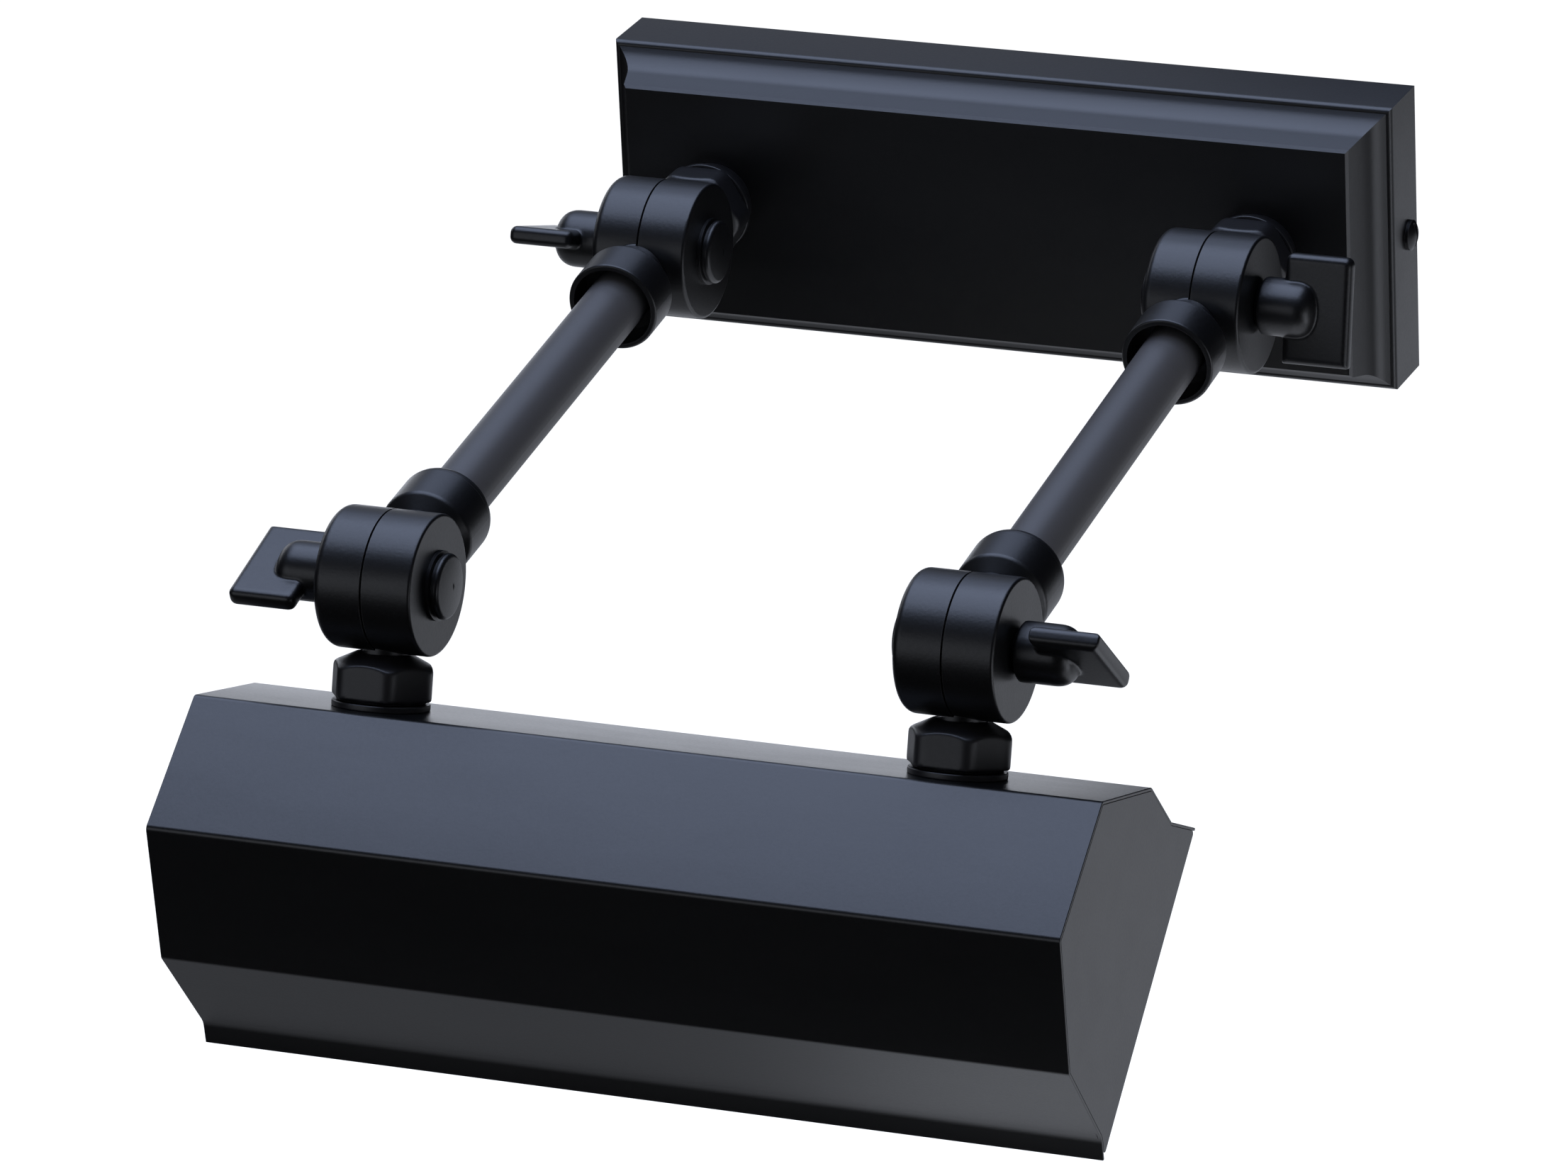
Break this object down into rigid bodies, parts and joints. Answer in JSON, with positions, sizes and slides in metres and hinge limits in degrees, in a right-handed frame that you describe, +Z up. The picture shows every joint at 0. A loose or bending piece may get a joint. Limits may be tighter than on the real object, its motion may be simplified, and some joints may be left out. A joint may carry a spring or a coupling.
{
  "type": "picture light",
  "caption": "Wall picture light: a stepped rectangular canopy, a pair of pivoting tubular arms with wing-nut knuckles, and a folded trough shade.",
  "frame": {"origin": "centre of the canopy's back plane, where its crossbar meets the wall", "axes": "+Y into the wall, +X along the shade to the viewer's right when facing the wall, +Z up"},
  "size_m": [0.3556, 0.4582, 0.2652],
  "materials": {
    "canopy_paint": "satin black powder coat on pressed steel",
    "casting_paint": "satin black powder coat on die castings",
    "tube_paint": "satin black powder coat on drawn tube",
    "collar_paint": "satin black paint on turned steel",
    "hardware_paint": "satin black paint on bolts and wing nuts",
    "shade_paint": "satin black powder coat on folded steel",
    "zinc_steel": "bright zinc plate",
    "ground_green": "green passivated earth screw",
    "terminal_plastic": "moulded off-white plastic",
    "bushing_plastic": "moulded black plastic",
    "friction_fibre": "dark pressed fibre",
    "reflector_white": "semi-gloss white enamel on folded aluminium",
    "socket_porcelain": "glazed porcelain",
    "brass": "bright rolled brass",
    "lamp_glass": "frosted glass"
  },
  "bodies": {
    "wall_canopy": {"canopy": "canopy_paint", "crossbar": "zinc_steel", "canopy_side_screws": "hardware_paint", "ground_screw": "ground_green", "terminal_block": "terminal_plastic", "terminal_screws": "zinc_steel", "canopy_boss_left": "collar_paint", "canopy_boss_right": "collar_paint", "canopy_washer_left": "collar_paint", "canopy_washer_right": "collar_paint", "canopy_nut_left": "collar_paint", "canopy_nut_right": "collar_paint", "canopy_lock_washers": "zinc_steel", "canopy_lock_nuts": "zinc_steel", "canopy_wire_bushings": "bushing_plastic", "shoulder_post_left": "casting_paint", "shoulder_post_right": "casting_paint", "shoulder_friction_washers": "friction_fibre", "shoulder_bolt_left": "hardware_paint"},
    "left_arm": {"arm_shoulder_left": "casting_paint", "arm_tube_left": "tube_paint", "arm_ferrule_left": "casting_paint", "arm_elbow_left": "casting_paint"},
    "right_arm": {"arm_shoulder_right": "casting_paint", "arm_tube_right": "tube_paint", "arm_ferrule_right": "casting_paint", "arm_elbow_right": "casting_paint", "shoulder_bolt_right": "hardware_paint", "elbow_bolt_right": "hardware_paint"},
    "shade": {"elbow_bolt_left": "hardware_paint", "elbow_friction_washers": "friction_fibre", "shade_post_left": "casting_paint", "shade_post_right": "casting_paint", "shade_nut_left": "collar_paint", "shade_nut_right": "collar_paint", "shade_washer_left": "collar_paint", "shade_washer_right": "collar_paint", "shade_lock_washers": "zinc_steel", "shade_lock_nuts": "zinc_steel", "shade_wire_bushings": "bushing_plastic", "shade_shell": "shade_paint", "end_cap_left": "shade_paint", "end_cap_right": "shade_paint", "reflector": "reflector_white", "reflector_standoffs": "zinc_steel", "reflector_screws": "zinc_steel", "socket_bracket_left": "zinc_steel", "socket_bracket_right": "zinc_steel", "lamp_socket_left": "socket_porcelain", "lamp_socket_right": "socket_porcelain", "socket_shell_left": "brass", "socket_shell_right": "brass", "lamp_base_left": "brass", "lamp_base_right": "brass", "lamp_glass_left": "lamp_glass", "lamp_glass_right": "lamp_glass"},
    "shoulder_wing_left": {"shoulder_wing_nut_left": "hardware_paint"},
    "shoulder_wing_right": {"shoulder_wing_nut_right": "hardware_paint"},
    "elbow_wing_left": {"elbow_wing_nut_left": "hardware_paint"},
    "elbow_wing_right": {"elbow_wing_nut_right": "hardware_paint"}
  },
  "joints": [
    {"name": "shoulder_left", "type": "hinge", "parent": "wall_canopy", "child": "left_arm", "pos_m": [-0.1135, -0.104, 0.002], "axis": [1, 0, 0], "range_deg": [-70, 60]},
    {"name": "shoulder_right", "type": "hinge", "parent": "wall_canopy", "child": "right_arm", "pos_m": [0.1135, -0.104, 0.002], "axis": [1, 0, 0], "range_deg": [-70, 60]},
    {"name": "elbow", "type": "hinge", "parent": "left_arm", "child": "shade", "pos_m": [-0.1135, -0.37324, -0.03297], "axis": [1, 0, 0], "range_deg": [-100, 40]},
    {"name": "wing_shoulder_left", "type": "hinge", "parent": "wall_canopy", "child": "shoulder_wing_left", "pos_m": [-0.1135, -0.104, 0.002], "axis": [-1, 0, 0], "range_deg": [0, 180]},
    {"name": "wing_shoulder_right", "type": "hinge", "parent": "right_arm", "child": "shoulder_wing_right", "pos_m": [0.1135, -0.104, 0.002], "axis": [1, 0, 0], "range_deg": [0, 180]},
    {"name": "wing_elbow_left", "type": "hinge", "parent": "shade", "child": "elbow_wing_left", "pos_m": [-0.1135, -0.37324, -0.03297], "axis": [-1, 0, 0], "range_deg": [0, 180]},
    {"name": "wing_elbow_right", "type": "hinge", "parent": "right_arm", "child": "elbow_wing_right", "pos_m": [0.1135, -0.37324, -0.03297], "axis": [1, 0, 0], "range_deg": [0, 180]}
  ],
  "couplings": [
    {"joint": "shoulder_right", "follows": "shoulder_left", "ratio": 1}
  ]
}
